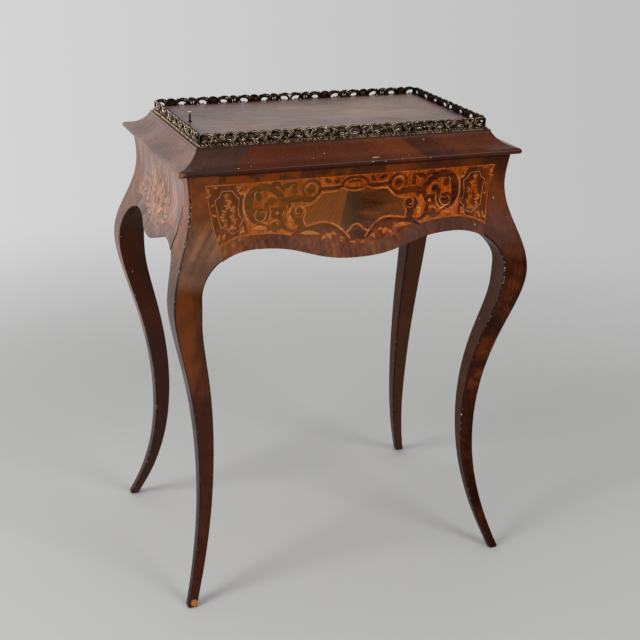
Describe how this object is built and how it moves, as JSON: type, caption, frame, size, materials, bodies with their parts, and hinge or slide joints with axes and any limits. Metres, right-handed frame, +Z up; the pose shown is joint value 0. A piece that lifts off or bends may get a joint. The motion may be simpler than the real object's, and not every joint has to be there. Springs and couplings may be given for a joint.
{
  "type": "jardiniere table",
  "caption": "Small marquetry table on cabriole legs, with a pierced gallery, a lift-off lid and a zinc-lined planting well under it.",
  "frame": {"origin": "on the floor, under the middle of the table", "axes": "+X to the right of the long front, the front faces -Y, +Z up"},
  "size_m": [0.6278, 0.4314, 0.8095],
  "materials": {
    "leg_veneer": "french polished",
    "apron_veneer": "french polished",
    "marquetry": "french polished marquetry",
    "moulding_veneer": "french polished",
    "lid_veneer": "french polished",
    "inner_wood": "raw, aged",
    "gallery_brass": "cast, tarnished",
    "bead_brass": "stamped, tarnished",
    "knob_brass": "turned, worn bright",
    "zinc": "dull zinc sheet",
    "bail_wire": "drawn iron wire",
    "iron_screws": "dull iron"
  },
  "bodies": {
    "case": {"leg_front_left": "leg_veneer", "leg_front_right": "leg_veneer", "leg_back_left": "leg_veneer", "leg_back_right": "leg_veneer", "apron_front": "apron_veneer", "marquetry_panel_front": "marquetry", "top_rail_front": "moulding_veneer", "gallery_front": "gallery_brass", "bead_strip_front": "bead_brass", "floor_cleat_front": "inner_wood", "apron_back": "apron_veneer", "marquetry_panel_back": "marquetry", "top_rail_back": "moulding_veneer", "gallery_back": "gallery_brass", "bead_strip_back": "bead_brass", "floor_cleat_back": "inner_wood", "apron_left": "apron_veneer", "marquetry_panel_left": "marquetry", "top_rail_left": "moulding_veneer", "gallery_left": "gallery_brass", "bead_strip_left": "bead_brass", "floor_cleat_left": "inner_wood", "apron_right": "apron_veneer", "marquetry_panel_right": "marquetry", "top_rail_right": "moulding_veneer", "gallery_right": "gallery_brass", "bead_strip_right": "bead_brass", "floor_cleat_right": "inner_wood", "mitre_keys": "inner_wood", "gallery_pins": "bead_brass", "glue_blocks": "inner_wood", "top_blocks": "inner_wood", "top_block_screws": "iron_screws", "case_floor": "inner_wood", "floor_screws": "iron_screws"},
    "liner": {"zinc_liner": "zinc", "liner_lugs": "zinc"},
    "lid": {"lid_panel": "lid_veneer", "lid_batten_left": "inner_wood", "lid_batten_right": "inner_wood", "lid_batten_screws": "iron_screws", "lid_knob": "knob_brass"},
    "left_bail": {"liner_bail_left": "bail_wire"},
    "right_bail": {"liner_bail_right": "bail_wire"}
  },
  "joints": [
    {"name": "liner_lift", "type": "slide", "parent": "case", "child": "liner", "axis": [0, 0, 1], "range_m": [0, 0.2]},
    {"name": "lid_lift", "type": "slide", "parent": "liner", "child": "lid", "axis": [0, 0, 1], "range_m": [0, 0.25]},
    {"name": "left_bail_swing", "type": "hinge", "parent": "liner", "child": "left_bail", "pos_m": [-0.2173, 0, 0.741], "axis": [0, -1, 0], "range_deg": [0, 180]},
    {"name": "right_bail_swing", "type": "hinge", "parent": "liner", "child": "right_bail", "pos_m": [0.2173, 0, 0.741], "axis": [0, 1, 0], "range_deg": [0, 180]}
  ]
}
